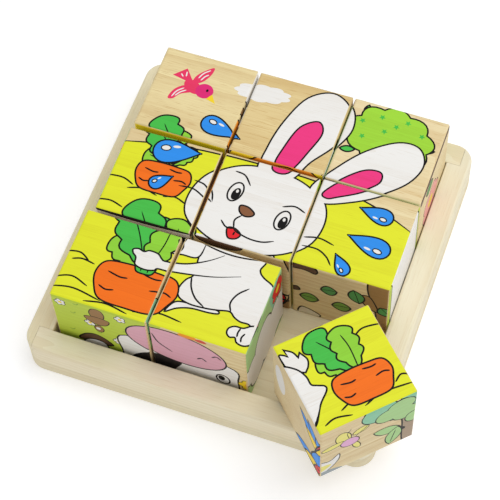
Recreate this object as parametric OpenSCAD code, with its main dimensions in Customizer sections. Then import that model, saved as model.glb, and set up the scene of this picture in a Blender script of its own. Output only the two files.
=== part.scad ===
// Nine-block cube picture puzzle in a shallow wooden tray.
// Eight cubes stand in the tray, the ninth is perched across the rails over its empty place.
// The tray is centred on the Z axis and stands on Z = 0, with +X to the right and +Y to the back.

/* [Cubes] */
// Edge length of each cube
cube_size = 38; // [30:0.5:48]
// Radius of the rounded cube edges
cube_edge_r = 1.2; // [0.6:0.1:3]

/* [Tray] */
// Free play of a row of three cubes between opposite rails
row_play = 5; // [3:0.5:12]
// Thickness of the base board
base_t = 7; // [4:0.5:12]
// Height of the rails above the base board
rail_h = 10; // [6:0.5:20]
// Width of a rail
rail_w = 9.5; // [6:0.5:14]
// Thickness of the side rails' lips over the ends of the front and back rails
lip_t = 4; // [2:0.5:5]
// Plan radius of the tray's outer corners
corner_r = 7.5; // [3:0.5:9]

/* [Eased edges] */
// Radius along the rails' upper outer edge
outer_edge_r = 1.2; // [0.4:0.1:2]
// Radius along the rails' upper inner edge
inner_edge_r = 0.6; // [0.2:0.1:1.5]
// Radius along the base board's lower edge
foot_edge_r = 0.8; // [0.2:0.1:1.5]
// Radius along the edges on both sides of the seam between rails and base board
seam_edge_r = 0.3; // [0.1:0.05:0.6]
// Thickness of the glue line in the corner joints of the rails
glue_t = 0.1; // [0.05:0.05:0.3]

/* [Perched cube] */
// Turn of the perched cube about its own upright axis, in degrees
perch_turn = 45; // [30:1:60]
// Distance from the right rail's inner face to the perched cube's middle
perch_right = 5; // [1:0.5:8]
// Distance from the front rail's inner face to the perched cube's middle
perch_front = 3; // [1:0.5:8]

/* [Hidden] */
$fn = 96;
inner_w = 3 * cube_size + row_play;
outer_w = inner_w + 2 * rail_w;
rail_top = base_t + rail_h;
// How far a cutting block reaches past the faces that it leaves alone
reach = 1;

// The play left of the first, second and third cube of each row, as shares of row_play
share_x = [[0.68, 0.16, 0.10], [0.66, 0.16, 0.12], [0.28, 0.16, 0.12]];
// The play behind the first, second and third cube of each column, as shares of row_play
share_y = [[0.08, 0.34, 0.30], [0.08, 0.20, 0.42], [0.08, 0.08, 0.30]];
// Small turns of the cubes in their places, in degrees, for each row
turn = [[0.3, 0.3, -0.2], [0.8, 0.4, 0.2], [0, -0.6, 0]];

// Sum of the first n + 1 numbers of a list
function total(list, n) = n < 0 ? 0 : list[n] + total(list, n - 1);

// Middle of the cube in a row (0 back to 2 front) and a column (0 left to 2 right)
function cube_x(row, col) =
    -inner_w / 2 + (col + 0.5) * cube_size + row_play * total(share_x[row], col);
function cube_y(row, col) =
    inner_w / 2 - (row + 0.5) * cube_size - row_play * total(share_y[col], row);

// Square with rounded corners, centred
module soft_square(side, r) {
    square([side - 2 * r, side], center = true);
    square([side, side - 2 * r], center = true);
    for (x = [-1, 1], y = [-1, 1]) translate([x, y] * (side / 2 - r)) circle(r);
}

// One rounded bar of the cube's section, centred and lying along Z
module soft_bar() {
    translate([0, 0, -cube_size / 2]) linear_extrude(cube_size) soft_square(cube_size, cube_edge_r);
}

// Wooden cube standing on z, with its twelve edges rounded
module wooden_cube(x, y, z, angle) {
    color("burlywood") translate([x, y, z + cube_size / 2]) rotate(angle) intersection() {
        soft_bar();
        rotate([90, 0, 0]) soft_bar();
        rotate([0, 90, 0]) soft_bar();
    }
}

// Cube in its place in the tray
module tray_cube(row, col) {
    wooden_cube(cube_x(row, col), cube_y(row, col), base_t, turn[row][col]);
}

// Cube across the front and right rails, over the empty place
module perched_cube() {
    wooden_cube(inner_w / 2 - perch_right, perch_front - inner_w / 2, rail_top, perch_turn);
}

// Carries an edge profile round the tray's outline.
// A profile's x is the distance in from the outer face, and its y is the height.
module around_tray() {
    run = outer_w - 2 * corner_r;
    for (side = [0 : 3]) rotate(90 * side) {
        translate([-run / 2, -outer_w / 2, 0]) rotate([90, 0, 90]) linear_extrude(run) children();
        translate([run / 2, -run / 2, 0]) rotate(-90) rotate_extrude(angle = 90) intersection() {
            translate([corner_r, 0]) mirror([1, 0]) children();
            square([corner_r, rail_top]);
        }
    }
}

// Rectangle from the origin, with a radius for each corner:
// lower left, lower right, upper right and upper left, where 0 leaves a corner sharp.
module eased_rect(w, h, r) {
    corners = [[0, 0], [w, 0], [w, h], [0, h]];
    difference() {
        square([w, h]);
        for (i = [0 : 3]) if (r[i] > 0) translate(corners[i]) rotate(90 * i) difference() {
            translate([-reach, -reach]) square(r[i] + reach);
            translate([r[i], r[i]]) circle(r[i]);
        }
    }
}

// Cross-section of a rail, standing on the base board
module rail_profile() {
    eased_rect(rail_w, rail_h, [seam_edge_r, 0, inner_edge_r, outer_edge_r]);
}

// Edge of the base board, as deep as a corner
module base_profile() {
    eased_rect(corner_r, base_t, [foot_edge_r, 0, 0, seam_edge_r]);
}

module base_board() {
    field = outer_w - 2 * corner_r;
    color("wheat") {
        around_tray() base_profile();
        translate([-field / 2, -field / 2, 0]) cube([field, field, base_t]);
    }
}

module rail_frame() {
    translate([0, 0, base_t]) around_tray() rail_profile();
}

// Front rail (side -1) or back rail (side 1), between the side rails' lips
module end_rail(side) {
    length = outer_w - 2 * (lip_t + glue_t);
    color("blanchedalmond") intersection() {
        rail_frame();
        translate([-length / 2, side < 0 ? -outer_w / 2 - reach : inner_w / 2, base_t])
            cube([length, rail_w + reach, rail_h]);
    }
}

// Left rail (side -1) or right rail (side 1), rabbeted at both ends
module side_rail(side) {
    lip_from = side < 0 ? -outer_w / 2 - reach : outer_w / 2 - lip_t;
    body_from = side < 0 ? -outer_w / 2 - reach : inner_w / 2;
    full = outer_w + 2 * reach;
    between = inner_w - 2 * glue_t;
    color("antiquewhite") intersection() {
        rail_frame();
        union() {
            translate([lip_from, -full / 2, base_t]) cube([lip_t + reach, full, rail_h]);
            translate([body_from, -between / 2, base_t]) cube([rail_w + reach, between, rail_h]);
        }
    }
}

base_board();
end_rail(-1);  // rail_front
end_rail(1);  // rail_back
side_rail(-1);  // rail_left
side_rail(1);  // rail_right
tray_cube(0, 0);  // cube_back_left
tray_cube(0, 1);  // cube_back_middle
tray_cube(0, 2);  // cube_back_right
tray_cube(1, 0);  // cube_middle_left
tray_cube(1, 1);  // cube_centre
tray_cube(1, 2);  // cube_middle_right
tray_cube(2, 0);  // cube_front_left
tray_cube(2, 1);  // cube_front_middle
perched_cube();  // cube_perched
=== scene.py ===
import math
import bpy
import numpy as np
from mathutils import Matrix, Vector
from mathutils.geometry import delaunay_2d_cdt


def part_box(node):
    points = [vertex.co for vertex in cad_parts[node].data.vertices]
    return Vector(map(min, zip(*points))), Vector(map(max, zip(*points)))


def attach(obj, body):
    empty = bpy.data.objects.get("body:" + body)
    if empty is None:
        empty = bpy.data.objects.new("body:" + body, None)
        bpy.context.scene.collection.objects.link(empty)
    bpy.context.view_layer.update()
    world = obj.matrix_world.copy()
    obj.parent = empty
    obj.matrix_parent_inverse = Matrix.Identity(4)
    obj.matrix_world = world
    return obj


# A wooden picture puzzle: nine printed cubes and the low tray that holds them.
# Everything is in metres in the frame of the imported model, whose floor is Z = 0.

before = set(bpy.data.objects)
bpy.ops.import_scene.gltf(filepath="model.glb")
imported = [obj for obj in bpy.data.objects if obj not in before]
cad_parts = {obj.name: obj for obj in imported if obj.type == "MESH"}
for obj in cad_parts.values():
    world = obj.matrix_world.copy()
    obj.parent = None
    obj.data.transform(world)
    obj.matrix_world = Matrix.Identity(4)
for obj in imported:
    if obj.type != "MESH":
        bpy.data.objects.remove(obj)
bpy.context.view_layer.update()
MM = 0.001

# ---- Sizes of the cubes, in millimetres ----

EDGE = 38.0        # edge of a cube
ROUND = 1.2        # radius of its eased edges
FILM = 0.02        # thickness of the ink
BENDS = 4          # flat steps in which the ink goes round half of an edge

# Row by row from the back, left to right: the name, and the turn about the upright axis in degrees.
# The perched cube counts as the one that is missing at the front right.
CUBES = (
    ("back_left", 0.3), ("back_middle", 0.3), ("back_right", -0.2),
    ("middle_left", 0.8), ("centre", 0.4), ("middle_right", 0.2),
    ("front_left", 0.0), ("front_middle", -0.6), ("perched", 45.0),
)

# ---- Camera ----

# Degrees for the three angles, millimetres for the rest; the lens is a focal length on a 36 mm sensor
CAMERA = {
    "azimuth": 22.75, "elevation": 60.71, "roll": -3.53, "distance": 644.3, "target": (5.37, -17.44, 45.0),
    "lens": 126.22,
}


def aim_camera():
    """Places the camera on a sphere about its target, then rolls it about its own line of sight."""
    az, el, roll = (math.radians(CAMERA[k]) for k in ("azimuth", "elevation", "roll"))
    back = np.array([math.sin(az) * math.cos(el), -math.cos(az) * math.cos(el), math.sin(el)])
    level = np.array([math.cos(az), math.sin(az), 0.0])
    upright = np.cross(back, level)
    right = math.cos(roll) * level + math.sin(roll) * upright
    up = -math.sin(roll) * level + math.cos(roll) * upright
    place = (np.array(CAMERA["target"]) + back * CAMERA["distance"]) * MM
    lens = bpy.data.cameras.new("camera")
    lens.lens, lens.sensor_width = CAMERA["lens"], 36.0
    lens.clip_start, lens.clip_end = 0.05, 20.0
    camera = bpy.data.objects.new("camera", lens)
    bpy.context.scene.collection.objects.link(camera)
    turned_axes = np.column_stack([right, up, back, place])
    camera.matrix_world = Matrix([*turned_axes.tolist(), [0, 0, 0, 1]])
    bpy.context.scene.camera = camera


aim_camera()

# ---- Colour and nodes ----


def linear(code):
    """Linear red, green, blue of an sRGB hex colour."""
    parts = [int(code[k:k + 2], 16) / 255 for k in (1, 3, 5)]
    return tuple(c / 12.92 if c <= 0.04045 else ((c + 0.055) / 1.055) ** 2.4 for c in parts)


def add(tree, kind, links=None, values=None, **settings):
    """One node: settings are its own choices, values fill its inputs and links join them to other nodes."""
    made = tree.nodes.new(kind)
    for key, value in settings.items():
        setattr(made, key, value)
    for key, value in (values or {}).items():
        made.inputs[key].default_value = value
    for key, source in (links or {}).items():
        tree.links.new(source, made.inputs[key])
    return made


def blank_material(name):
    """Empty material and the shader that its looks go into."""
    material = bpy.data.materials.new(name)
    material.use_nodes = True
    tree = material.node_tree
    tree.nodes.clear()
    shader = add(tree, "ShaderNodeBsdfPrincipled")
    add(tree, "ShaderNodeOutputMaterial", {"Surface": shader.outputs["BSDF"]})
    return material, tree, shader


# ---- Studio ----

BOX_PLACE, BOX_WIDTH, BOX_POWER = (0.38, 0.2, 1.3), 1.5, 11.0  # soft box: metres, metres, watts
TABLE_GLOW, SURROUND = 0.34, 0.55                              # how bright the table and the surround are


def studio():
    """Pale floor that glows a little, soft box above and behind on the right, and even pale surround."""
    sheet = bpy.data.meshes.new("studio_floor")
    x, y = np.meshgrid(np.linspace(-3, 3, 7), np.linspace(-3, 3, 7), indexing="ij")
    corners = np.stack([x, y, 0 * x], -1).reshape(-1, 3)
    first = (np.arange(6)[:, None] * 7 + np.arange(6)).ravel()
    sheet.from_pydata(corners.tolist(), [], np.stack([first, first + 7, first + 8, first + 1], 1).tolist())
    floor = bpy.data.objects.new("studio_floor", sheet)
    bpy.context.scene.collection.objects.link(floor)
    paper, tree, shader = blank_material("lit opal acrylic table")
    shader.inputs["Base Color"].default_value = (*linear("#E6E6E6"), 1)
    shader.inputs["Roughness"].default_value = 0.9
    shader.inputs["Emission Color"].default_value = (1, 1, 1, 1)
    shader.inputs["Emission Strength"].default_value = TABLE_GLOW
    sheet.materials.append(paper)

    lamp = bpy.data.lights.new("soft_box", "AREA")
    lamp.shape, lamp.size, lamp.energy = "DISK", BOX_WIDTH, BOX_POWER
    holder = bpy.data.objects.new("soft_box", lamp)
    place = np.array(BOX_PLACE)
    away = place / np.linalg.norm(place)
    side = np.cross((0, 0, 1), away)
    side /= np.linalg.norm(side)
    axes = np.column_stack([side, np.cross(away, side), away, place])
    holder.matrix_world = Matrix([*axes.tolist(), [0, 0, 0, 1]])
    bpy.context.scene.collection.objects.link(holder)

    world = bpy.data.worlds.new("pale surround")
    world.use_nodes = True
    surround = world.node_tree.nodes["Background"]
    surround.inputs["Color"].default_value = (*linear("#FBFCFF"), 1)
    surround.inputs["Strength"].default_value = SURROUND
    bpy.context.scene.world = world
    bpy.context.scene.view_settings.view_transform = "Standard"


studio()

# ---- Wood ----

WAVE = 0.314                            # length of one ring of the wave texture at scale 1
CUBE_SHARES = (0.34, 0.26, 0.26, 0.62)  # how much rings, fibres, patches and pores darken the cubes
TRAY_SHARES = (0.22, 0.16, 0.22, 0.3)   # the same for the tray


def grain(tree, centre, turn, seed, spacing=2.4):
    """Grain that runs along the piece's own X axis, worked out in millimetres from the piece's centre.

    Growth rings are circles about a pith that lies below the piece, bent by slow noise. Fibres, pores and
    patches are noise that is drawn out along the grain. Gives the rings, fibres, pores and patches, 0 to 1.
    """
    place = add(tree, "ShaderNodeTexCoord").outputs["Object"]
    local = add(tree, "ShaderNodeMapping", {"Vector": place}, {
        "Location": centre, "Rotation": (0, 0, math.radians(turn)), "Scale": (MM, MM, MM),
    }, vector_type="TEXTURE")

    def stretched(along, across, offset):
        """Coordinates in which a feature is one unit long and wide."""
        return add(tree, "ShaderNodeMapping", {"Vector": local.outputs[0]}, {
            "Location": (seed * 7.3 + offset, seed * 3.1, seed * 1.7 + offset),
            "Scale": (1 / along, 1 / across, 1 / across)}).outputs[0]

    def noise(along, across, offset, detail, spread):
        """Noise of that size, its middle spread out to the whole range."""
        raw = add(tree, "ShaderNodeTexNoise", {"Vector": stretched(along, across, offset)},
                  {"Scale": 1.0, "Detail": detail, "Roughness": 0.6})
        low, high = spread
        return add(tree, "ShaderNodeMapRange", {"Value": raw.outputs["Fac"]},
                   {"From Min": low, "From Max": high}, clamp=True).outputs[0]

    pith = add(tree, "ShaderNodeMapping", {"Vector": local.outputs[0]}, {
        "Location": (seed * 11.0, 9 - 5 * (seed % 5), 26 + 9 * (seed % 3)), "Scale": (0.14, 1, 1),
    })
    rings = add(tree, "ShaderNodeTexWave", {"Vector": pith.outputs[0]}, {
        "Scale": WAVE / spacing, "Distortion": 5.0, "Detail": 2.0, "Detail Scale": 0.5,
        "Detail Roughness": 0.5,
    }, wave_type="RINGS", rings_direction="X", wave_profile="SAW")
    return {
        "rings": rings.outputs["Fac"],
        "fibres": noise(24, 0.55, 3.0, 3.0, (0.3, 0.72)),
        "pores": noise(8, 0.3, 17.0, 1.0, (0.62, 0.72)),
        "patches": noise(60, 11, 31.0, 2.0, (0.3, 0.7)),
    }


def wood_colour(tree, parts, pale, dark, shares):
    """Pale wood that darkens by its share for each of the rings, fibres, patches and pores."""
    tones = {6: (*linear(pale), 1), 7: (*linear(dark), 1)}
    colour = None
    for name, share in zip(("rings", "fibres", "patches", "pores"), shares):
        weight = add(tree, "ShaderNodeMath", {0: parts[name]}, {1: share}, operation="MULTIPLY")
        mix = add(tree, "ShaderNodeMix", {0: weight.outputs[0]}, tones, data_type="RGBA")
        if colour is not None:
            tree.links.new(colour, mix.inputs[6])
        colour = mix.outputs[2]
    return colour


def wood(name, centre, turn, seed, pale, dark, shares, spacing=2.4, polish=0.5):
    """Bare sanded wood: matt, with fibres and pores that are felt as a very shallow relief."""
    material, tree, shader = blank_material(name)
    parts = grain(tree, centre, turn, seed, spacing)
    tree.links.new(wood_colour(tree, parts, pale, dark, shares), shader.inputs["Base Color"])
    polished = {"To Min": polish, "To Max": polish + 0.16}
    rough = add(tree, "ShaderNodeMapRange", {"Value": parts["fibres"]}, polished)
    tree.links.new(rough.outputs[0], shader.inputs["Roughness"])
    relief = add(tree, "ShaderNodeMath", {0: parts["pores"], 1: parts["fibres"]}, operation="ADD")
    shallow = {"Strength": 0.5, "Distance": 0.04 * MM}
    bump = add(tree, "ShaderNodeBump", {"Height": relief.outputs[0]}, shallow, invert=True)
    tree.links.new(bump.outputs[0], shader.inputs["Normal"])
    shader.inputs["IOR"].default_value = 1.35
    return material


def ink(name, centre, turn, seed):
    """Screen-printed ink, thin enough for the pores and rings of the wood to show faintly through it.

    It reads the printed colour from the film's own attribute. It is a little glossier than the wood.
    """
    material, tree, shader = blank_material(name)
    parts = grain(tree, centre, turn, seed)
    printed = add(tree, "ShaderNodeAttribute", attribute_name="ink", attribute_type="GEOMETRY")
    lines = add(tree, "ShaderNodeMath", {0: parts["rings"], 1: parts["fibres"]}, operation="MULTIPLY")
    shown = add(tree, "ShaderNodeMath", {0: parts["pores"], 1: lines.outputs[0]}, operation="MAXIMUM")
    weak = add(tree, "ShaderNodeMath", {0: shown.outputs[0]}, {1: 0.22}, operation="MULTIPLY")
    mix = add(tree, "ShaderNodeMix", {0: weak.outputs[0], 6: printed.outputs["Color"]},
              {7: (*linear("#C7A878"), 1)}, data_type="RGBA", blend_type="MULTIPLY")
    tree.links.new(mix.outputs[2], shader.inputs["Base Color"])
    shader.inputs["Roughness"].default_value = 0.45
    shader.inputs["IOR"].default_value = 1.25
    return material


# ---- Outlines ----
# A picture is three cells wide and three high, one cell for each cube. x runs to the right, y up, in cells.

LINE = 0.018  # width of a drawn line, as a share of a cube's edge: about 0.7 mm


def turned(points, degrees, x=0.0, y=0.0, size=1.0):
    """Points scaled by size, turned about the origin, then moved to x, y."""
    a = math.radians(degrees)
    spin = np.array([[math.cos(a), math.sin(a)], [-math.sin(a), math.cos(a)]])
    return np.asarray(points, float) * size @ spin + (x, y)


def curve(points, closed=True, steps=6):
    """Catmull-Rom spline: each span is a cubic through its two points, whose slopes there are half the
    distance between the neighbours."""
    p = np.asarray(points, float)
    if closed:
        a, b, c, d = (np.roll(p, k, axis=0) for k in (1, 0, -1, -2))
    else:
        ends = np.vstack([2 * p[0] - p[1], p, 2 * p[-1] - p[-2]])
        a, b, c, d = ends[:-3], ends[1:-2], ends[2:-1], ends[3:]
    t = np.linspace(0, 1, steps, endpoint=False)[None, :, None]
    a, b, c, d = (q[:, None, :] for q in (a, b, c, d))
    path = 0.5 * (2 * b + (c - a) * t + (2 * a - 5 * b + 4 * c - d) * t**2 + (3 * b - a - 3 * c + d) * t**3)
    path = path.reshape(-1, 2)
    return path if closed else np.vstack([path, p[-1]])


def oval(x, y, rx, ry, degrees=0.0, n=32):
    """Ellipse: rx cos t, ry sin t."""
    t = np.linspace(0, 2 * math.pi, n, endpoint=False)
    return turned(np.stack([rx * np.cos(t), ry * np.sin(t)], 1), degrees, x, y)


def lobed(x, y, rx, ry, lobes, depth, degrees=0.0):
    """Ellipse whose radius swells by depth in each of its lobes, as an absolute sine."""
    t = np.linspace(0, 2 * math.pi, lobes * 7, endpoint=False)
    r = 1 - depth + depth * np.abs(np.sin(lobes * t / 2))
    return turned(np.stack([rx * r * np.cos(t), ry * r * np.sin(t)], 1), degrees, x, y)


def tear(x, y, length, width, degrees=0.0):
    """Teardrop with its point at the front: cos t along, sin t times a power of sin t/2 across."""
    t = np.linspace(0.12, 2 * math.pi - 0.12, 30)
    shape = np.stack([length / 2 * np.cos(t), 0.77 * width * np.sin(t) * np.sin(t / 2) ** 1.4], 1)
    return turned(shape, degrees, x, y)


def two_sides(start, end, t, half):
    """Left and right side of a shape from start to end, which is half to either side at each share t."""
    a, b = np.asarray(start, float), np.asarray(end, float)
    along = (b - a) / np.linalg.norm(b - a)
    across = np.array([-along[1], along[0]])
    mid = a + np.outer(t, b - a)
    return mid + np.outer(half, across), mid - np.outer(half, across)


def blade(start, end, width):
    """Plain leaf from start to end: half its width follows a sine to the power 0.75 along it."""
    t = np.linspace(0, 1, 11)
    left, right = two_sides(start, end, t, width / 2 * np.sin(math.pi * t) ** 0.75)
    return np.vstack([left, right[-2:0:-1]])


def scalloped(start, end, width, lobes=4):
    """Leaf with a scalloped edge.

    Half its width rises as a sine up to its middle, swells as an absolute sine in every lobe, and rounds
    off at the tip as the root of 1 minus t to the tenth.
    """
    t = np.sin(np.linspace(0.06, 1, 9 * lobes) * math.pi / 2)
    rise = np.sin(np.minimum(t / 0.5, 1) * math.pi / 2) ** 1.2
    half = width / 2 * rise * np.sqrt(1 - t**10) * (0.74 + 0.26 * np.abs(np.sin(math.pi * lobes * t)))
    left, right = two_sides(start, end, t, half)
    return np.vstack([left, right[-2::-1]])


def star(x, y, r, points=5, degrees=0.0):
    """Star: its corners alternate between radius r and 0.45 r."""
    t = np.arange(2 * points) * math.pi / points
    radius = np.where(np.arange(2 * points) % 2 == 0, r, 0.45 * r)
    return turned(np.stack([radius * np.cos(t), radius * np.sin(t)], 1), degrees + 90, x, y)


def block(x0, y0, x1, y1):
    """Upright rectangle."""
    return np.array([(x0, y0), (x1, y0), (x1, y1), (x0, y1)], float)


def grown(outline, by):
    """Outline moved outwards by a distance: each corner goes along the mean of its two edges' normals."""
    p = outline[np.linalg.norm(outline - np.roll(outline, 1, axis=0), axis=1) > 1e-5]
    edge = np.roll(p, -1, axis=0) - p
    area = np.sum(p[:, 0] * np.roll(p[:, 1], -1) - p[:, 1] * np.roll(p[:, 0], -1))
    normal = np.stack([edge[:, 1], -edge[:, 0]], 1) / np.linalg.norm(edge, axis=1)[:, None]
    before = np.roll(normal, 1, axis=0)
    dot = np.sum(normal * before, axis=1)
    mitre = (normal + before) / np.maximum(1 + dot, 0.35)[:, None]
    return p + mitre * by * np.sign(area)


def band(points, width=LINE):
    """Drawn line along a spline, a little thinner towards its two ends."""
    p = curve(points, closed=False)
    t = np.linspace(0, 1, len(p))
    half = width / 2 * np.clip(0.35 + 6 * np.minimum(t, 1 - t), 0, 1)[:, None]
    slope = np.gradient(p, axis=0)
    across = np.stack([-slope[:, 1], slope[:, 0]], 1) / np.linalg.norm(slope, axis=1)[:, None]
    return np.vstack([p + across * half, (p - across * half)[::-1]])


# ---- Painting: every helper gives a list of (outline, colour), the later ones on top ----


def plain(outline, colour):
    """Area with no line round it."""
    return [(outline, colour)]


def joined(outlines, colour, line=LINE):
    """Areas that run into each other inside one common line."""
    edges = [(grown(o, line / 2), "line") for o in outlines]
    return edges + [(grown(o, -line / 2), colour) for o in outlines]


def drawn(outline, colour, line=LINE):
    """Area with a line round it."""
    return joined([outline], colour, line)


def strokes(*lines, width=LINE, colour="line"):
    """Separate drawn lines."""
    return [(band(points, width), colour) for points in lines]


def carrot(x, y, w, h):
    """Half-buried carrot: broad shoulders, narrower at the soil, with a few creases."""
    body = [(-0.5, 0.12), (-0.42, 0.42), (-0.15, 0.5), (0.16, 0.49), (0.42, 0.42), (0.5, 0.1), (0.44, -0.2)]
    body += [(0.32, -0.5), (0, -0.54), (-0.32, -0.5), (-0.45, -0.22)]
    size = np.array([w, h])
    creases = [[(-0.36, 0.2), (-0.2, 0.14), (-0.1, 0.16)], [(0.2, 0.02), (0.34, 0.06), (0.44, 0.0)]]
    creases += [[(-0.4, -0.18), (-0.3, -0.24), (-0.2, -0.2)], [(0.06, 0.36), (0.2, 0.32), (0.3, 0.34)]]
    return (
        drawn(curve(np.array(body) * size + (x, y)), "carrot")
        + strokes(*[np.array(c) * size + (x, y) for c in creases])
    )


def carrot_top(x, y, leaves):
    """Veined leaves that fan out from a carrot's crown at x, y: where each ends, its width and colour."""
    done = []
    for tip_x, tip_y, width, colour in leaves:
        crown, tip = np.array([x, y]), np.array([tip_x, tip_y])
        bow = (crown + tip) / 2 + (0.02, 0)
        done += drawn(scalloped(crown, tip, width), colour)
        done += strokes([crown, bow, crown + (tip - crown) * 0.82], width=0.013)
    return done


def drop(x, y, length, width, degrees):
    """Blue water drop with its highlights."""
    back = turned([(-0.24 * length, 0.16 * width)], degrees, x, y)[0]
    side = turned([(-0.02 * length, 0.24 * width)], degrees, x, y)[0]
    return (
        drawn(tear(x, y, length, width, degrees), "blue")
        + drawn(oval(*back, 0.1 * length, 0.13 * width, degrees), "white", 0.012)
        + plain(oval(*side, 0.08 * length, 0.06 * width, degrees), "white")
    )


def daisy(x, y, r, petals="white", heart="yolk"):
    """Small flower: five round petals about a heart."""
    t = np.arange(5) * 2 * math.pi / 5
    places = [(x + 0.6 * r * math.cos(a), y + 0.6 * r * math.sin(a)) for a in t]
    rings = [oval(*place, 0.42 * r, 0.42 * r, n=14) for place in places]
    return joined(rings, petals, 0.008) + plain(oval(x, y, 0.32 * r, 0.32 * r, n=14), heart)


def ripples(places):
    """Small white waves on water."""
    done = []
    for x, y in places:
        wave = [(x - 0.16, y), (x - 0.08, y + 0.05), (x, y), (x + 0.08, y + 0.05), (x + 0.16, y)]
        done += strokes(wave, width=0.02, colour="white")
    return done


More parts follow.
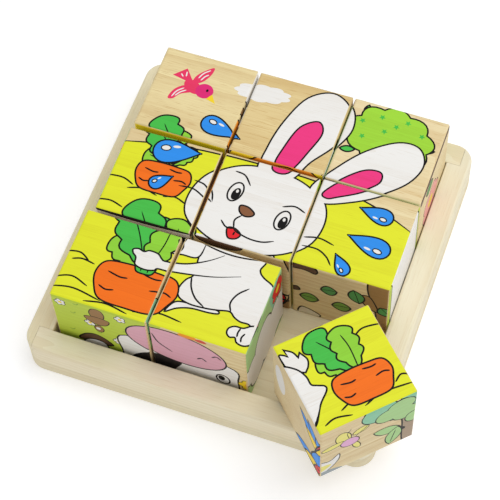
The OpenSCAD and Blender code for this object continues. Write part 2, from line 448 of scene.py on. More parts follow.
def rabbit_picture():
    """White rabbit that pulls a carrot out of a field, under a bird, a cloud and a bush."""
    horizon = [(-0.1, 1.8), (0.4, 1.91), (0.9, 1.96), (1.6, 1.97), (2.1, 1.94), (2.6, 1.84), (3.1, 1.64)]
    field = np.vstack([[(3.1, -0.1), (-0.1, -0.1)], curve(horizon, closed=False)])
    done = plain(field, "field") + strokes(horizon)
    done += strokes(
        [(-0.02, 1.4), (0.14, 1.41), (0.27, 1.36)], [(0.22, 1.31), (0.38, 1.35), (0.54, 1.31)],
        [(0.6, 1.32), (0.72, 1.35), (0.86, 1.3)], [(-0.02, 1.1), (0.12, 1.12), (0.26, 1.08)],
        [(-0.02, 0.5), (0.12, 0.52), (0.24, 0.45)], [(0.06, 0.43), (0.16, 0.46), (0.3, 0.44)],
        [(-0.02, 0.2), (0.14, 0.25), (0.32, 0.19)], [(-0.02, 0.09), (0.2, 0.13), (0.5, 0.08)],
        [(0.34, 0.03), (0.56, 0.07), (0.8, 0.03)], [(0.84, 0.07), (1.05, 0.13), (1.3, 0.11)],
        [(2.72, 0.75), (2.84, 0.8), (3.02, 0.77)], [(2.28, 0.13), (2.4, 0.17), (2.52, 0.14)],
        [(2.5, 0.08), (2.7, 0.13), (3.02, 0.1)], [(2.86, 0.17), (2.94, 0.22), (3.02, 0.19)],
        [(2.08, 0.06), (2.2, 0.09), (2.36, 0.05)],
    )
    # The bush and its sprouts, behind the ears
    done += drawn(blade((2.15, 2.84), (2.16, 2.96), 0.06), "leaf")
    done += drawn(blade((2.5, 2.88), (2.5, 3.0), 0.06), "leaf")
    done += drawn(blade((2.84, 2.6), (2.95, 2.63), 0.05), "leaf")
    done += drawn(blade((2.18, 2.4), (2.03, 2.37), 0.07), "leaf")
    done += drawn(lobed(2.48, 2.64, 0.47, 0.37, 9, 0.13, -10), "bush")
    for x, y in (
        (2.33, 2.86), (2.6, 2.87), (2.4, 2.7), (2.2, 2.58), (2.78, 2.76), (2.15, 2.76), (2.5, 2.79),
        (2.86, 2.5),
    ):
        done += plain(star(x, y, 0.036, degrees=20 * x), "leaf")
    done += plain(lobed(1.12, 2.75, 0.29, 0.11, 9, 0.14, 6), "white")
    # The bird: tail, wings, body, head, beak
    done += plain(np.array([(0.37, 2.64), (0.17, 2.68), (0.23, 2.74), (0.29, 2.8), (0.4, 2.66)]), "bird")
    done += plain(curve([(0.4, 2.65), (0.42, 2.76), (0.55, 2.89), (0.555, 2.8), (0.49, 2.68)]), "bird")
    near_wing = [(0.35, 2.6), (0.25, 2.52), (0.215, 2.4), (0.27, 2.4), (0.33, 2.48), (0.43, 2.54)]
    done += plain(curve(near_wing), "bird")
    done += plain(oval(0.42, 2.6, 0.11, 0.07, -28), "bird")
    done += plain(oval(0.553, 2.585, 0.095, 0.09), "bird_dark")
    feathers = [
        [(0.44, 2.72), (0.47, 2.79), (0.53, 2.85)], [(0.47, 2.7), (0.5, 2.76), (0.53, 2.79)],
        [(0.34, 2.56), (0.28, 2.5), (0.25, 2.42)], [(0.37, 2.54), (0.32, 2.5), (0.28, 2.44)],
        [(0.3, 2.76), (0.31, 2.7)], [(0.25, 2.72), (0.28, 2.69)],
    ]
    done += strokes(*feathers, width=0.014, colour="white")
    done += plain(np.array([(0.645, 2.57), (0.71, 2.47), (0.6, 2.5)]), "yolk")
    done += plain(oval(0.58, 2.6, 0.014, 0.018, n=12), "line")
    # The small carrot
    done += carrot_top(0.55, 1.68, [
        (0.25, 1.76, 0.24, "leaf_light"), (0.74, 1.94, 0.17, "leaf_light"),
        (0.5, 2.06, 0.26, "leaf_light"), (0.25, 2.17, 0.36, "leaf"),
    ])
    done += carrot(0.52, 1.52, 0.58, 0.34)
    # Body, tail and legs
    tail = np.vstack([
        curve([(2.16, 0.62), (2.21, 0.67), (2.234, 0.74), (2.197, 0.83)], closed=False),
        curve([(2.165, 0.79), (2.14, 0.86), (2.073, 0.92)], closed=False),
        curve([(2.08, 0.84), (2.05, 0.87), (2.01, 0.885), (2.01, 0.8), (2.02, 0.7)], closed=False),
    ])
    body = [
        (1.22, 1.04), (1.2, 0.85), (1.22, 0.7), (1.22, 0.62), (1.17, 0.56), (1.138, 0.45), (1.177, 0.36),
        (1.3, 0.323), (1.46, 0.33), (1.58, 0.35), (1.695, 0.374), (1.76, 0.33), (1.83, 0.304),
        (1.94, 0.29), (1.99, 0.12), (2.03, 0.12), (2.14, 0.27), (2.25, 0.37), (2.258, 0.42), (2.2, 0.455),
        (2.15, 0.49), (2.145, 0.58), (2.1, 0.68), (1.99, 0.776), (1.878, 0.83), (1.82, 0.895),
        (1.8, 1.04),
    ]
    paw = [
        (1.1, 0.17), (1.16, 0.3), (1.3, 0.33), (1.46, 0.34), (1.58, 0.345), (1.6, 0.315), (1.5, 0.295),
        (1.33, 0.284), (1.2, 0.24),
    ]
    foot = [
        (1.96, 0.3), (1.884, 0.25), (1.8, 0.243), (1.749, 0.205), (1.749, 0.15), (1.79, 0.118),
        (1.839, 0.13), (1.871, 0.086), (1.936, 0.07), (2.0, 0.1), (2.06, 0.2), (2.06, 0.3),
    ]
    done += drawn(tail, "white")
    done += drawn(curve(paw), "white")
    done += drawn(curve(body), "white")
    done += drawn(curve(foot), "white")
    done += plain(curve([
        (1.99, 0.37), (1.975, 0.24), (2.01, 0.14), (2.05, 0.17), (2.13, 0.28), (2.1, 0.38),
    ]), "white")
    done += strokes(
        [(1.791, 0.671), (1.704, 0.575), (1.669, 0.463), (1.71, 0.367)],
        [(1.21, 0.62), (1.25, 0.5), (1.33, 0.4), (1.444, 0.335)],
        [(1.86, 0.24), (1.85, 0.19), (1.855, 0.14)], [(1.92, 0.2), (1.9, 0.15), (1.91, 0.1)],
    )
    far_arm = [
        (1.03, 1.02), (0.993, 0.945), (0.922, 0.919), (0.879, 0.839), (0.912, 0.797), (1.042, 0.808),
        (1.196, 0.834), (1.22, 1.03),
    ]
    done += plain(curve(far_arm, closed=False), "white") + strokes(far_arm)
    # The big carrot, and the arm that pulls it by its leaves
    done += carrot_top(0.79, 0.52, [
        (0.7, 1.1, 0.3, "leaf"), (0.36, 0.78, 0.3, "leaf_light"), (0.39, 1.22, 0.44, "leaf"),
        (0.9, 1.13, 0.32, "leaf_light"),
    ])
    done += carrot(0.745, 0.325, 0.82, 0.45)
    done += drawn(curve([(0.69, 0.62), (0.7, 0.51), (0.78, 0.49), (0.87, 0.51), (0.88, 0.62)]), "leaf")
    done += strokes([(0.75, 0.6), (0.75, 0.51)], [(0.82, 0.6), (0.82, 0.51)], width=0.012)
    arm = [
        (1.437, 0.936), (1.331, 0.847), (1.203, 0.767), (1.074, 0.713), (0.94, 0.692), (0.899, 0.708),
        (0.847, 0.748), (0.756, 0.755), (0.707, 0.728), (0.645, 0.742), (0.595, 0.72), (0.61, 0.68),
        (0.651, 0.645), (0.668, 0.574), (0.717, 0.548), (0.798, 0.542), (0.873, 0.562), (0.9, 0.59),
        (1.01, 0.597), (1.203, 0.629), (1.428, 0.68), (1.669, 0.767),
    ]
    done += plain(curve(arm, closed=False), "white") + strokes(arm)
    # Ears and head
    left_ear = [
        (1.38, 1.88), (1.36, 2.15), (1.42, 2.5), (1.56, 2.84), (1.8, 2.98), (2.02, 2.86), (2.09, 2.62),
        (2.0, 2.36), (1.84, 2.12), (1.7, 1.88),
    ]
    right_ear = [
        (1.93, 1.86), (2.08, 2.14), (2.3, 2.42), (2.58, 2.62), (2.8, 2.62), (2.9, 2.44), (2.82, 2.2),
        (2.6, 1.98), (2.34, 1.82), (2.06, 1.72),
    ]
    head = [
        (1.5, 1.95), (1.85, 1.9), (2.09, 1.74), (2.17, 1.5), (2.1, 1.22), (1.86, 1.03), (1.5, 0.96),
        (1.13, 1.02), (0.88, 1.2), (0.84, 1.46), (0.95, 1.72), (1.2, 1.9),
    ]
    done += joined([curve(left_ear), curve(right_ear), curve(head)], "white")
    done += drawn(curve([
        (1.5, 1.96), (1.52, 2.2), (1.6, 2.48), (1.76, 2.6), (1.84, 2.48), (1.78, 2.24), (1.67, 1.96),
    ]), "pink")
    done += drawn(curve([
        (2.04, 1.84), (2.18, 2.04), (2.36, 2.2), (2.52, 2.22), (2.54, 2.1), (2.4, 1.96), (2.2, 1.84),
        (2.1, 1.79),
    ]), "pink")
    # Face
    for x, y in ((1.24, 1.59), (1.79, 1.42)):
        done += drawn(oval(x, y, 0.07, 0.115, -12), "white")
        done += plain(oval(x + 0.012, y - 0.022, 0.042, 0.074, -12), "line")
        done += plain(oval(x + 0.016, y + 0.012, 0.014, 0.02, n=14), "white")
    done += drawn(curve([
        (1.34, 1.455), (1.42, 1.46), (1.5, 1.41), (1.48, 1.365), (1.41, 1.35), (1.35, 1.39),
    ]), "nose")
    done += drawn(curve([(1.3, 1.17), (1.37, 1.19), (1.45, 1.14), (1.42, 1.08), (1.34, 1.07)]), "red")
    done += strokes(
        [(1.39, 1.35), (1.34, 1.28), (1.36, 1.19)], [(1.21, 1.24), (1.28, 1.18), (1.36, 1.18)],
        [(1.36, 1.18), (1.42, 1.15), (1.55, 1.12), (1.68, 1.125), (1.79, 1.17)],
        [(1.385, 1.15), (1.38, 1.11)], [(1.16, 1.82), (1.27, 1.8), (1.36, 1.7)],
        [(1.74, 1.57), (1.86, 1.61), (1.98, 1.57)],
        [(0.837, 1.6), (0.95, 1.58), (1.02, 1.51), (1.055, 1.41)],
        [(0.707, 1.49), (0.853, 1.5), (0.97, 1.45), (1.05, 1.4)],
        [(2.02, 1.3), (2.17, 1.334), (2.334, 1.3)],
        [(2.03, 1.205), (2.19, 1.21), (2.3, 1.156), (2.37, 1.075)],
    )
    # The carrot beside the rabbit's tail
    done += carrot_top(2.62, 0.42, [
        (2.29, 0.68, 0.24, "leaf_light"), (2.33, 0.96, 0.36, "leaf"), (2.62, 0.92, 0.3, "leaf_light"),
    ])
    done += carrot(2.606, 0.3, 0.6, 0.345)
    done += drop(0.86, 2.2, 0.42, 0.2, -14)
    done += drop(0.56, 1.86, 0.5, 0.25, 12)
    done += drop(0.52, 1.49, 0.26, 0.14, 40)
    done += drop(2.62, 1.77, 0.36, 0.17, 172)
    done += drop(2.65, 1.42, 0.46, 0.2, 170)
    done += drop(2.46, 1.12, 0.26, 0.13, 130)
    return done


def duck_picture():
    """Yellow duck on a pond, with bulrushes and the sun."""
    pond = [(-0.1, 1.2), (0.5, 1.3), (1.2, 1.22), (2.0, 1.3), (3.1, 1.2)]
    done = drawn(np.vstack([[(3.2, -0.1), (-0.2, -0.1)], curve(pond, closed=False)]), "water")
    bank = curve([(2.0, 0.2), (2.4, 0.46), (3.2, 0.6)], closed=False)
    done += drawn(np.vstack([[(3.2, -0.1), (1.9, -0.1)], bank]), "meadow")
    for k in range(12):
        near = turned([(0.3, 0)], 30 * k, 0.6, 2.45)[0]
        far = turned([(0.46, 0)], 30 * k, 0.6, 2.45)[0]
        done += plain(blade(near, far, 0.07), "orange")
    done += drawn(oval(0.6, 2.45, 0.25, 0.25), "yolk")
    done += plain(lobed(1.7, 2.7, 0.36, 0.13, 9, 0.16), "white")
    for x, y, h in ((2.2, 0.4, 1.6), (2.5, 0.5, 1.9), (2.78, 0.45, 1.5)):
        done += drawn(blade((x, y), (x - 0.3, y + h * 0.75), 0.11), "leaf")
        done += strokes([(x, y), (x + 0.04, y + h / 2), (x, y + h)])
        done += drawn(oval(x, y + h, 0.065, 0.2, n=24), "brown")
        done += drawn(blade((x + 0.04, y), (x + 0.26, y + h * 0.6), 0.1), "leaf_light")
    body = [
        (0.5, 1.3), (0.46, 1.0), (0.7, 0.74), (1.2, 0.66), (1.7, 0.74), (1.98, 1.0), (2.14, 1.42),
        (1.86, 1.3), (1.5, 1.26), (1.16, 1.4), (1.0, 1.6), (0.6, 1.6),
    ]
    done += joined([curve(body), oval(0.82, 1.72, 0.36, 0.33)], "yolk")
    wing = [(1.0, 1.12), (1.3, 0.9), (1.62, 0.94), (1.84, 1.16), (1.5, 1.2), (1.2, 1.26)]
    done += drawn(curve(wing), "orange")
    done += drawn(curve([(0.5, 1.76), (0.3, 1.76), (0.2, 1.68), (0.3, 1.6), (0.52, 1.6)]), "carrot")
    done += strokes([(0.26, 1.68), (0.38, 1.69), (0.5, 1.68)], [(1.2, 1.1), (1.34, 1.02), (1.5, 1.04)])
    done += plain(oval(0.72, 1.82, 0.05, 0.07, n=20), "line")
    done += plain(oval(0.735, 1.845, 0.016, 0.02, n=12), "white")
    done += ripples([
        (0.3, 0.5), (0.9, 0.36), (1.5, 0.5), (0.5, 0.14), (1.3, 0.12), (0.16, 0.92), (2.3, 0.96),
        (2.62, 1.08),
    ])
    return done + daisy(2.4, 0.24, 0.12) + daisy(2.74, 0.3, 0.12, "pink")


def boat_picture():
    """Sailing boat on the sea, with the sun, two gulls and a fish."""
    sea = [
        (-0.1, 1.0), (0.3, 1.06), (0.6, 0.98), (1.0, 1.05), (1.4, 0.98), (1.8, 1.05), (2.2, 0.98),
        (2.6, 1.05), (3.1, 1.0),
    ]
    done = drawn(oval(2.5, 2.5, 0.27, 0.27), "yolk")
    done += plain(lobed(0.6, 2.66, 0.4, 0.15, 9, 0.16), "white")
    done += drawn(block(1.44, 0.9, 1.52, 2.86), "brown")
    done += drawn(np.array([(1.56, 2.76), (1.56, 2.9), (1.9, 2.83)]), "red")
    done += drawn(curve([
        (1.56, 2.68), (1.9, 2.2), (2.2, 1.7), (2.36, 1.34), (1.96, 1.3), (1.56, 1.32), (1.6, 2.0),
    ]), "sail")
    done += drawn(curve([
        (1.4, 2.5), (1.1, 2.1), (0.84, 1.66), (0.7, 1.38), (1.0, 1.34), (1.4, 1.36), (1.36, 1.9),
    ]), "orange")
    done += drawn(curve([
        (0.5, 1.16), (0.7, 0.84), (0.9, 0.6), (1.5, 0.56), (2.1, 0.62), (2.34, 0.84), (2.52, 1.18),
        (1.5, 1.1),
    ]), "black")
    done += strokes([(0.72, 0.96), (1.5, 0.92), (2.34, 0.98)], width=0.07, colour="white")
    swell = curve(np.array(sea) - (0, 0.22), closed=False)
    done += drawn(np.vstack([[(3.2, -0.1), (-0.2, -0.1)], swell]), "blue")
    done += ripples([
        (0.3, 0.5), (1.0, 0.42), (1.7, 0.5), (2.7, 0.42), (0.5, 0.14), (1.3, 0.12), (2.9, 0.14),
        (0.9, 0.66),
    ])
    done += drawn(np.array([(2.46, 0.24), (2.66, 0.36), (2.66, 0.12)]), "carrot")
    done += drawn(oval(2.26, 0.24, 0.26, 0.13), "carrot")
    done += plain(oval(2.12, 0.28, 0.026, 0.03, n=14), "line")
    done += strokes([(2.2, 0.34), (2.24, 0.24), (2.2, 0.14)])
    for x, y in ((0.42, 2.1), (2.7, 1.86)):
        gull = [(x - 0.2, y + 0.06), (x - 0.1, y + 0.12), (x, y), (x + 0.1, y + 0.12), (x + 0.2, y + 0.06)]
        done += strokes(gull, width=0.03)
    return done


def parrot_picture():
    """Red parrot in a tree of the bare forest, with loose leaves, a blossom and stones."""
    trunk = [
        (0.86, -0.1), (0.88, 0.4), (0.78, 0.9), (0.84, 1.2), (1.2, 1.02), (1.7, 0.98), (2.3, 1.1),
        (3.1, 1.0), (3.1, 0.82), (2.3, 0.94), (1.7, 0.82), (1.2, 0.84), (1.0, 0.7), (1.08, 0.3),
        (1.02, -0.1),
    ]
    stump = [(0.8, 0.52), (0.7, 0.68), (0.74, 0.76), (0.82, 0.74), (0.9, 0.5)]
    branch = [(2.2, 0.96), (2.42, 1.4), (2.52, 1.9), (2.6, 1.88), (2.54, 1.4), (2.36, 0.96)]
    done = []
    for wood_shape in (trunk, stump, branch):
        done += drawn(curve(wood_shape), "bark")
    leaves = [
        (0.3, 0.62, 0.47, 0.66, 1), (0.08, 0.38, 0.28, 0.38, 0), (0.42, 0.36, 0.62, 0.4, 0),
        (0.7, 0.56, 0.64, 0.8, 1), (0.92, 0.6, 1.02, 0.46, 1), (1.5, 0.8, 1.36, 0.56, 0),
        (1.9, 0.84, 2.06, 0.6, 1), (2.6, 1.86, 2.86, 2.1, 1), (2.54, 1.9, 2.3, 2.16, 0),
        (2.56, 1.6, 2.86, 1.7, 0), (2.44, 1.4, 2.16, 1.5, 1), (2.7, 0.84, 2.86, 0.6, 0),
        (0.2, 2.86, 0.44, 2.8, 1), (1.7, 0.3, 1.94, 0.36, 1), (2.3, 0.34, 2.5, 0.22, 0),
        (1.3, 2.7, 1.54, 2.8, 0),
    ]
    for x0, y0, x1, y1, shade in leaves:
        done += drawn(blade((x0, y0), (x1, y1), 0.17), ("olive", "pine")[shade])
        done += strokes([(x0, y0), ((x0 + x1) / 2, (y0 + y1) / 2 + 0.01), (x1, y1)], width=0.01)
    done += drawn(curve([
        (0.06, 0.05), (0.1, 0.14), (0.2, 0.12), (0.3, 0.05), (0.24, -0.02), (0.08, -0.02),
    ]), "stone")
    done += drawn(curve([(1.3, 0.04), (1.4, 0.2), (1.56, 0.16), (1.66, 0.04), (1.5, -0.02)]), "stone")
    done += drawn(curve([
        (-0.1, 0.9), (0.0, 0.99), (0.16, 1.02), (0.26, 0.98), (0.24, 0.9), (0.12, 0.93),
    ]), "brown_dark")
    done += drawn(curve([(-0.02, 0.5), (0.05, 0.55), (0.08, 0.49), (0.0, 0.46)]), "brown_dark")
    done += plain(oval(0.17, 1.6, 0.1, 0.24, 6), "cloud")
    done += plain(lobed(1.9, 2.7, 0.4, 0.14, 9, 0.16), "cloud")
    # Dark band along the picture's top edge: painted shade, so that the narrow gaps between the cubes,
    # where this edge shows, read dark
    done += plain(curve([
        (-0.1, 2.93), (0.8, 2.95), (1.6, 2.92), (2.4, 2.95), (3.1, 2.92), (3.1, 3.1), (-0.1, 3.1),
    ]), "brown_dark")
    done += drawn(oval(2.02, 1.73, 0.12, 0.25, 0, 28), "brown_dark")
    done += strokes([(2.02, 1.96), (2.12, 2.3), (2.2, 2.94)])
    # The parrot: tail, body, wing, head
    for k, colour in ((0, "blue"), (1, "yolk"), (2, "red")):
        done += drawn(blade((0.98 + 0.07 * k, 1.2), (0.5 + 0.2 * k, 1.04 + 0.02 * k), 0.14), colour)
    for x, y, colour in (
        (0.6, 1.84, "blue"), (0.76, 1.87, "blue"), (0.93, 1.8, "blue"), (0.72, 1.66, "yolk"),
    ):
        done += drawn(blade((1.1, 1.5), (x, y), 0.15), colour)
    done += drawn(curve([
        (0.94, 1.2), (0.92, 1.5), (1.06, 1.84), (1.3, 1.96), (1.56, 1.84), (1.6, 1.5), (1.42, 1.16),
        (1.2, 1.04),
    ]), "red")
    done += drawn(curve([
        (1.02, 1.7), (0.92, 1.46), (0.84, 1.22), (1.1, 1.28), (1.3, 1.46), (1.3, 1.66), (1.16, 1.76),
    ]), "yolk")
    done += drawn(curve([(0.98, 1.5), (0.84, 1.22), (1.1, 1.28), (1.24, 1.4)]), "blue")
    done += drawn(oval(1.44, 2.02, 0.27, 0.25), "red") + plain(oval(1.54, 2.04, 0.11, 0.1, n=24), "white")
    done += drawn(curve([
        (1.66, 2.14), (1.8, 2.06), (1.82, 1.9), (1.74, 1.84), (1.66, 1.92),
    ]), "brown_dark")
    done += plain(oval(1.55, 2.06, 0.035, 0.04, n=16), "line")
    done += strokes(
        [(1.2, 1.1), (1.18, 1.0), (1.24, 0.94)], [(1.3, 1.1), (1.3, 1.0), (1.36, 0.94)], width=0.035,
    )
    # The blossom at the left edge
    t = np.arange(5) * 2 * math.pi / 5
    petals = [oval(0.42 + 0.15 * math.cos(a), 2.42 + 0.15 * math.sin(a), 0.12, 0.12, n=18) for a in t]
    done += joined(petals, "blossom", 0.01)
    return done + plain(oval(0.42, 2.42, 0.08, 0.08, n=18), "yolk")


def cow_picture():
    """Cow that looks over a flowering meadow, with a white barn behind it."""
    meadow = [
        (0.55, -0.1), (0.72, 0.5), (0.9, 1.1), (1.0, 1.7), (1.2, 2.1), (1.7, 2.32), (2.4, 2.36),
        (3.2, 2.2),
    ]
    done = plain(np.vstack([[(3.2, -0.1)], curve(meadow, closed=False)]), "meadow")
    done += drawn(block(2.06, 0.96, 2.94, 2.14), "white")
    done += drawn(np.array([(1.96, 2.1), (3.04, 2.1), (2.5, 2.8)]), "roof")
    done += drawn(block(2.4, 0.96, 2.6, 1.24), "brown") + drawn(block(2.42, 2.28, 2.58, 2.44), "sky")
    done += plain(lobed(1.5, 2.72, 0.3, 0.12, 9, 0.16), "cloud")
    for x, y in (
        (1.9, 1.1), (1.27, 1.09), (1.33, 1.6), (1.61, 1.36), (1.9, 1.9), (1.5, 0.6), (2.3, 0.5),
        (2.76, 0.7), (1.1, 0.3),
    ):
        done += daisy(x, y, 0.06)
    for x, y in (
        (1.2, 1.3), (1.75, 1.22), (1.5, 1.5), (1.8, 1.6), (1.4, 1.86), (1.15, 1.85), (1.7, 1.02),
        (1.2, 0.7), (1.8, 0.4),
    ):
        done += strokes([(x, y), (x + 0.02, y + 0.035), (x + 0.06, y + 0.03)], width=0.014, colour="grass")
    tufts = [[(2.1, 0.3), (2.14, 0.36), (2.2, 0.34)], [(2.6, 0.2), (2.64, 0.26), (2.7, 0.24)]]
    done += strokes(*tufts, width=0.014, colour="grass")
    # Mushrooms and a molehill
    done += drawn(curve([
        (1.47, 1.04), (1.44, 1.14), (1.48, 1.24), (1.56, 1.24), (1.6, 1.14), (1.56, 1.04),
    ]), "brown", 0.01)
    done += drawn(curve([
        (1.4, 1.22), (1.43, 1.32), (1.52, 1.36), (1.62, 1.32), (1.66, 1.24), (1.54, 1.2),
    ]), "brown", 0.01)
    done += drawn(oval(1.52, 1.44, 0.05, 0.07, n=20), "brown", 0.01)
    done += plain(oval(1.53, 1.44, 0.025, 0.025, n=12), "cloud")
    done += drawn(curve([
        (1.42, 1.76), (1.46, 1.66), (1.58, 1.6), (1.7, 1.66), (1.76, 1.8),
    ]), "brown_dark")
    done += drawn(curve([
        (1.46, 1.82), (1.5, 1.74), (1.6, 1.72), (1.7, 1.78), (1.72, 1.9), (1.5, 1.9),
    ]), "cloud")
    # The cow's neck, ears, horns, head, patch and muzzle
    done += drawn(curve([
        (-0.3, 2.0), (0.3, 2.2), (0.9, 2.5), (1.1, 2.9), (1.0, 3.3), (-0.3, 3.3),
    ]), "white")
    done += drawn(curve([(1.16, 2.4), (1.4, 2.6), (1.66, 2.6), (1.64, 2.42), (1.4, 2.26)]), "white")
    done += drawn(blade((0.42, 2.5), (0.24, 2.94), 0.14), "cream")
    done += drawn(blade((1.0, 2.54), (1.22, 2.94), 0.14), "cream")
    face = [
        (0.2, 1.4), (0.1, 1.7), (0.12, 2.1), (0.3, 2.46), (0.7, 2.62), (1.1, 2.5), (1.3, 2.16),
        (1.3, 1.8), (1.24, 1.4),
    ]
    done += drawn(curve(face), "white")
    done += plain(curve([
        (0.7, 1.64), (0.78, 1.86), (0.86, 2.2), (1.1, 2.3), (1.24, 2.08), (1.2, 1.82), (0.98, 1.62),
    ]), "black")
    done += drawn(oval(0.26, 1.72, 0.07, 0.09, 8, 24), "white")
    done += plain(oval(0.275, 1.7, 0.036, 0.05, n=18), "line")
    done += drawn(oval(1.02, 1.98, 0.075, 0.1, 8, 24), "white", 0.01)
    done += plain(oval(1.03, 1.96, 0.036, 0.052, n=18), "line")
    done += drawn(oval(0.72, 1.34, 0.51, 0.31, -6, 48), "cow_pink")
    done += strokes(
        [(0.98, 1.18), (0.92, 1.34), (0.78, 1.46)], [(0.26, 1.3), (0.31, 1.26), (0.36, 1.3)],
        [(0.42, 1.44), (0.47, 1.4), (0.52, 1.44)],
    )
    done += plain(oval(0.6, 1.02, 0.1, 0.03, n=20), "orange")
    done += plain(oval(0.46, 1.03, 0.06, 0.024, n=20), "roof")
    return done + daisy(0.0, 1.7, 0.1, "yolk", "orange")


def sheep_picture():
    """Sheep that rests under a tree, with a butterfly, a small bird and red flowers."""
    grass = [(-0.3, 0.9), (0.4, 1.0), (1.2, 1.1), (2.0, 1.06), (3.3, 1.2), (3.3, -0.3), (-0.3, -0.3)]
    done = drawn(curve(grass), "tree_light")
    done += plain(curve([(0.64, 0.98), (0.74, 0.6), (0.9, 0.56), (0.86, 0.98)]), "tree_green")
    done += drawn(curve([
        (1.92, 0.9), (2.0, 1.5), (1.88, 2.0), (1.86, 2.5), (1.8, 2.8), (2.3, 2.8), (2.2, 2.2), (2.2, 1.6),
        (2.36, 0.9),
    ]), "bark_pale")
    done += strokes(
        [(1.9, 2.3), (1.82, 2.36), (1.76, 2.44)], [(1.9, 2.28), (1.84, 2.32), (1.78, 2.4)], width=0.04,
    )
    crown = [
        (1.62, 2.9, 0.17), (1.84, 2.76, 0.17), (2.12, 2.7, 0.2), (2.46, 2.66, 0.22), (2.76, 2.64, 0.2),
        (2.06, 2.9, 0.22),
    ]
    done += joined([oval(x, y, r * 1.15, r, n=24) for x, y, r in crown], "tree_green", 0.012)
    tufts = ((1.72, 2.76), (1.9, 2.66), (1.84, 2.86))
    done += joined([oval(x, y, 0.15, 0.13, n=20) for x, y in tufts], "tree_light", 0.012)
    done += drawn(blade((1.86, 2.34), (1.56, 2.48), 0.16), "tree_light", 0.012)
    done += drawn(blade((1.82, 2.4), (1.74, 2.06), 0.17), "tree_light", 0.012)
    done += drawn(oval(1.98, 2.5, 0.09, 0.11, n=20), "tree_light", 0.012)
    done += strokes([(1.8, 2.34), (1.77, 2.2), (1.75, 2.1)], width=0.01)
    # The butterfly: four wings, body, feelers
    for x, y, rx, ry, turn in (
        (1.24, 2.7, 0.08, 0.13, 12), (1.42, 2.72, 0.09, 0.05, 25), (1.13, 2.6, 0.12, 0.045, 8),
        (1.38, 2.42, 0.035, 0.09, 20),
    ):
        done += drawn(oval(x, y, rx, ry, turn, 20), "butter", 0.01)
    done += drawn(oval(1.31, 2.55, 0.1, 0.085, -20, 20), "lilac", 0.01)
    done += strokes(
        [(1.3, 2.64), (1.28, 2.76), (1.32, 2.84)], [(1.36, 2.62), (1.46, 2.72), (1.5, 2.78)], width=0.008,
    )
    # The small bird
    done += drawn(curve([
        (0.84, 2.3), (0.98, 2.34), (1.1, 2.3), (1.2, 2.38), (1.19, 2.24), (1.08, 2.1), (0.9, 2.04),
        (0.76, 2.14),
    ]), "cloud", 0.012)
    done += plain(curve([(0.94, 2.24), (1.06, 2.24), (1.12, 2.2), (1.02, 2.12), (0.92, 2.12)]), "butter")
    done += plain(oval(0.84, 2.22, 0.018, 0.022, n=12), "line")
    done += plain(curve([(0.9, 2.04), (1.06, 2.1), (1.24, 2.03), (1.1, 1.98), (0.9, 1.98)]), "slate")
    # The sheep
    for x in (0.36, 0.56, 1.06, 1.24):
        done += drawn(block(x, -0.02, x + 0.11, 0.3), "slate")
    wool = [
        (0.12, 0.42, 0.2), (0.44, 0.56, 0.24), (0.84, 0.46, 0.2), (1.16, 0.56, 0.22), (1.36, 0.36, 0.2),
        (1.0, 0.24, 0.2), (0.6, 0.22, 0.24), (0.26, 0.22, 0.2), (0.8, 0.36, 0.3),
    ]
    done += joined([oval(x, y, r, r, n=26) for x, y, r in wool], "wool")
    done += drawn(oval(1.62, 0.66, 0.17, 0.22, 14, 28), "slate")
    done += drawn(oval(1.42, 0.78, 0.12, 0.05, -20, 18), "slate")
    done += joined([oval(1.54 + 0.1 * k, 0.87, 0.085, 0.075, n=18) for k in range(3)], "wool")
    for x in (1.6, 1.71):
        done += plain(oval(x, 0.69, 0.032, 0.04, n=16), "white")
        done += plain(oval(x + 0.006, 0.685, 0.014, 0.02, n=12), "line")
    for x, y, r in (
        (0.86, 0.82, 0.16), (2.3, 0.46, 0.14), (2.74, 0.6, 0.16), (2.5, 0.16, 0.12), (1.9, 0.24, 0.12),
        (0.3, 1.12, 0.13),
    ):
        done += strokes([(x, y), (x + 0.02, y - 0.1), (x, y - 0.22)], width=0.02, colour="pine")
        done += daisy(x, y, r, "red")
    return done


PICTURES = (rabbit_picture, duck_picture, boat_picture, parrot_picture, cow_picture, sheep_picture)


# ---- Inks ----

INKS = {
    "line": "#080605", "white": "#F1EFEA", "field": "#E6EA2C", "carrot": "#F97418",
    "leaf": "#49C14B", "leaf_light": "#93D63C", "bush": "#A3DC3C", "blue": "#2F93F2", "pink": "#F23A84",
    "nose": "#8A5A3A", "red": "#E8242C", "bird": "#EC3A66", "bird_dark": "#E42C78", "yolk": "#FAD92E",
    "meadow": "#BFD447", "grass": "#8FB23A", "cow_pink": "#E0A9B8", "black": "#231F1E", "cream": "#F3E6C4",
    "brown": "#9A7448", "brown_dark": "#5E4330", "sky": "#CFE4F2", "water": "#8CC8EE", "orange": "#F59A2E",
    "roof": "#D8543C", "sail": "#F7F3EA", "bark": "#9C7A4A", "olive": "#6FA03E", "pine": "#4E9A52",
    "stone": "#DCD3BE", "cloud": "#EBE9E6", "blossom": "#F2A7A0", "tree_light": "#A9D18C",
    "tree_green": "#8CC8A4", "bark_pale": "#A9947C", "butter": "#EBE27E", "lilac": "#E3AED2",
    "slate": "#9AA3A6", "wool": "#E4E0DC",
}

# ---- Printed films ----

# For each face of a cube: the way that the right and the top of its picture point
FACES = {
    "top": ((1, 0, 0), (0, 1, 0)), "front": ((1, 0, 0), (0, 0, 1)), "right": ((0, 1, 0), (0, 0, 1)),
    "back": ((-1, 0, 0), (0, 0, 1)), "left": ((0, -1, 0), (0, 0, 1)), "bottom": ((1, 0, 0), (0, -1, 0)),
}
FLAT = EDGE / 2 - ROUND     # half of the flat of a face
BEND = ROUND * math.pi / 4  # from there to the middle of the eased edge, unrolled
HALF = FLAT + BEND          # half of a face, unrolled
SAME_POINT = 1e-4           # closer points are one, in millimetres
SLIVER = 1e-7               # a triangle of less than half this many square millimetres is left out


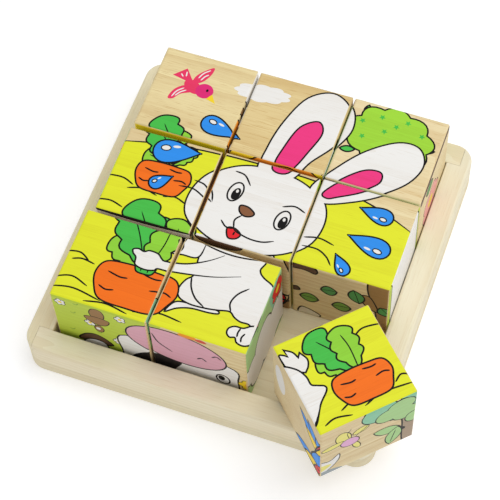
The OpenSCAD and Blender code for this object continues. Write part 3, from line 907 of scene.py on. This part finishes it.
def inside(points, outline):
    """Which points lie in an outline: those whose ray to the right crosses it an odd number of times."""
    x, y = points[:, 0, None], points[:, 1, None]
    x0, y0 = outline.T
    x1, y1 = np.roll(x0, -1), np.roll(y0, -1)
    spans = (y0 > y) != (y1 > y)
    rise = np.where(y1 == y0, 1e-12, y1 - y0)
    return np.sum(spans & (x < x0 + (y - y0) * (x1 - x0) / rise), axis=1) % 2 == 1


def print_area(shapes, cell, turn, reach):
    """Flat triangles of one face's ink in millimetres, and the shape that each shows.

    The outlines near the cell, the print's own border and the bend lines cut the face into triangles.
    Each triangle takes the last shape painted over its middle, and bare wood stays open.
    """
    corner = np.array([cell % 3 + 0.5, 2 - cell // 3 + 0.5])
    x0, x1, y0, y1 = reach
    border = block(x0, y0, x1, y1)
    loops, near = [border], []
    for i, (outline, _) in enumerate(shapes):
        p = turned(outline - corner, turn) * 2 * HALF
        if np.all(p.min(0) < HALF) and np.all(p.max(0) > -HALF):
            loops.append(p)
            near.append((i, p))
    if not near:
        return None
    bends = FLAT + BEND * np.arange(BENDS) / BENDS
    bends = (*bends, *-bends)
    ends = [((b, -HALF), (b, HALF)) for b in bends] + [((-HALF, b), (HALF, b)) for b in bends]
    points = np.vstack([*loops, np.array(ends).reshape(-1, 2)])
    edges, start = [], 0
    for loop in loops:
        k = np.arange(len(loop))
        edges += (start + np.stack([k, (k + 1) % len(loop)], 1)).tolist()
        start += len(loop)
    edges += (start + np.arange(2 * len(ends)).reshape(-1, 2)).tolist()
    cut = delaunay_2d_cdt(points.tolist(), edges, [], 0, SAME_POINT)
    at, faces = np.array([(v.x, v.y) for v in cut[0]]), np.array(cut[2])
    a, b, c = at[faces[:, 0]], at[faces[:, 1]], at[faces[:, 2]]
    middle = (a + b + c) / 3
    area = (b[:, 0] - a[:, 0]) * (c[:, 1] - a[:, 1]) - (b[:, 1] - a[:, 1]) * (c[:, 0] - a[:, 0])
    open_to = (middle[:, 0] > x0) & (middle[:, 0] < x1) & (middle[:, 1] > y0) & (middle[:, 1] < y1)
    open_to &= area > SLIVER
    shown = np.full(len(faces), -1)
    for i, p in near:
        low, high = p.min(0), p.max(0)
        pick = np.flatnonzero(open_to & np.all((middle > low) & (middle < high), axis=1))
        shown[pick[inside(middle[pick], p)]] = i
    kept = shown >= 0
    used, faces = np.unique(faces[kept], return_inverse=True)
    return at[used], faces.reshape(-1, 3), shown[kept]


def print_film(name, body, cube, face, shapes, cell, turn, reach, material):
    """Film of ink on one face, which bends round the eased edges as far as it reaches.

    On the flat it lies FILM above the face. Past the flat, an unrolled distance s becomes the angle
    s / ROUND, and the film follows a circle of radius ROUND + FILM. Where both directions bend, the lower
    height holds.
    """
    area = print_area(shapes, cell, turn, reach)
    if area is None or not len(area[1]):
        return
    flat, faces, shown = area
    angle = np.maximum(np.abs(flat) - FLAT, 0) / ROUND
    out = np.where(angle > 0, np.sign(flat) * (FLAT + (ROUND + FILM) * np.sin(angle)), flat)
    height = FLAT + (ROUND + FILM) * np.cos(angle).min(axis=1)
    lean = np.where(angle >= angle.max(axis=1)[:, None], np.sign(flat) * np.sin(angle), 0)
    normal = np.column_stack([lean, np.cos(angle).min(axis=1)])
    right, up = (np.array(v, float) for v in FACES[face])
    axes = np.array([right, up, np.cross(right, up)])
    a = math.radians(cube["turn"])
    spin = np.array([[math.cos(a), math.sin(a), 0], [-math.sin(a), math.cos(a), 0], [0, 0, 1]])
    place = (np.column_stack([out, height]) @ axes @ spin) * MM + cube["centre"]
    normal = normal @ axes @ spin
    normal /= np.linalg.norm(normal, axis=1)[:, None]
    mesh = bpy.data.meshes.new(name)
    mesh.from_pydata(place.tolist(), [], faces.tolist())
    colours = np.array([(*linear(INKS[colour]), 1.0) for _, colour in shapes])
    layer = mesh.color_attributes.new("ink", "FLOAT_COLOR", "CORNER")
    layer.data.foreach_set("color", np.repeat(colours[shown], 3, axis=0).ravel())
    mesh.materials.append(material)
    mesh.shade_smooth()
    mesh.normals_split_custom_set_from_vertices(normal.tolist())
    film = bpy.data.objects.new(name, mesh)
    bpy.context.scene.collection.objects.link(film)
    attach(film, body)


# Each picture has one cell on every cube, shuffled as (a times cube + b) counted round its nine cells
SHUFFLES = ((1, 0), (1, 3), (4, 4), (2, 5), (8, 10), (4, 5))
SIDES = ("front", "right", "back", "left", "bottom")
COW = 4          # the cow's place in PICTURES
LAST_TURNED = 4  # up to this cube, counted from 0, all prints but the top and right ones turn by quarters

# How far the top prints go round their left, right, front and back edges, where they stop short
SHORT_TOPS = {
    "middle_left": (1, 0.5, 1, 1), "centre": (0.75, 1, 1, 0.8), "front_left": (1, 0.8, 1, 1),
    "front_middle": (0.65, 1, 1, 0.8), "back_middle": (1, 0.7, 1, 1),
}
# The other prints stop short with this chance at each edge, and then go this far round it
SHORT_CHANCE, SHORT_REACH = 0.3, (0.3, 0.85)


def build_cubes():
    """Wood and six printed films for each cube; a print may stop a little short of an edge."""
    painted = [picture() for picture in PICTURES]
    chance = np.random.default_rng(12)
    for k, (where, turn) in enumerate(CUBES):
        low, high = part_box("cube_" + where)
        centre = (np.array(low) + np.array(high)) / 2
        cube = {"centre": centre, "turn": turn}
        pale, dark = CUBE_TINTS[k]
        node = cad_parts["cube_" + where]
        coat(node, wood("lime_wood_" + where, centre, turn, k + 1, pale, dark, CUBE_SHARES))
        film_ink = ink("screen_ink_" + where, centre, turn, k + 1)
        reach = np.where(chance.random((6, 4)) < SHORT_CHANCE, chance.uniform(*SHORT_REACH, (6, 4)), 1.0)
        reach[0] = SHORT_TOPS.get(where, (1, 1, 1, 1))
        limits = (FLAT + BEND * reach) * (-1, 1, -1, 1)
        for f, face in enumerate(("top", *SIDES)):
            which = 0 if face == "top" else 1 + (f - 1 + k // 2) % len(SIDES)
            a, b = SHUFFLES[which]
            cell = (a * k + b) % 9
            quarter = 0 if face in ("top", "right") or k > LAST_TURNED else 90 * ((k + f) % 4)
            quarter = 180 if which == COW and face == "front" else quarter
            print_film(f"print_{where}_{face}", "cube_" + where, cube, face, painted[which], cell, quarter,
                       limits[f], film_ink)


def coat(node, material):
    """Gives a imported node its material."""
    node.data.materials.clear()
    node.data.materials.append(material)


# Pale and dark tone of each cube's wood, in the order of CUBES
CUBE_TINTS = (
    ("#F7E8B1", "#C0975A"), ("#F0DCA2", "#C29854"), ("#F6E8BC", "#CFA866"),
    ("#F0E0B0", "#C49C5C"), ("#F1E2B4", "#C49C5C"), ("#F4E5B6", "#C69E5E"),
    ("#EFDEAC", "#C0985A"), ("#F0E0B0", "#C49C5C"), ("#EEDFB4", "#C29C62"),
)

# Pale and dark tone, the way that the grain runs, and the rings' spacing, for each piece of the tray
TRAY_WOOD = {
    "base_board": ("#EDE4C4", "#CBB17F", 0, 3.0), "rail_front": ("#F6EED3", "#D6BE8B", 0, 2.2),
    "rail_back": ("#F2E9CA", "#D2B983", 0, 2.0), "rail_left": ("#F1E9C9", "#CFB67E", 90, 2.4),
    "rail_right": ("#F2ECD2", "#D6C095", 90, 2.0),
}


def build_tray():
    """Base board and rails: pale soft wood whose grain runs along each piece."""
    for i, (name, (pale, dark, turn, spacing)) in enumerate(TRAY_WOOD.items()):
        low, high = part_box(name)
        centre = (np.array(low) + np.array(high)) / 2
        pine = wood("pine_" + name, centre, turn, 20 + i, pale, dark, TRAY_SHARES, spacing, 0.56)
        coat(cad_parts[name], pine)


build_tray()
build_cubes()
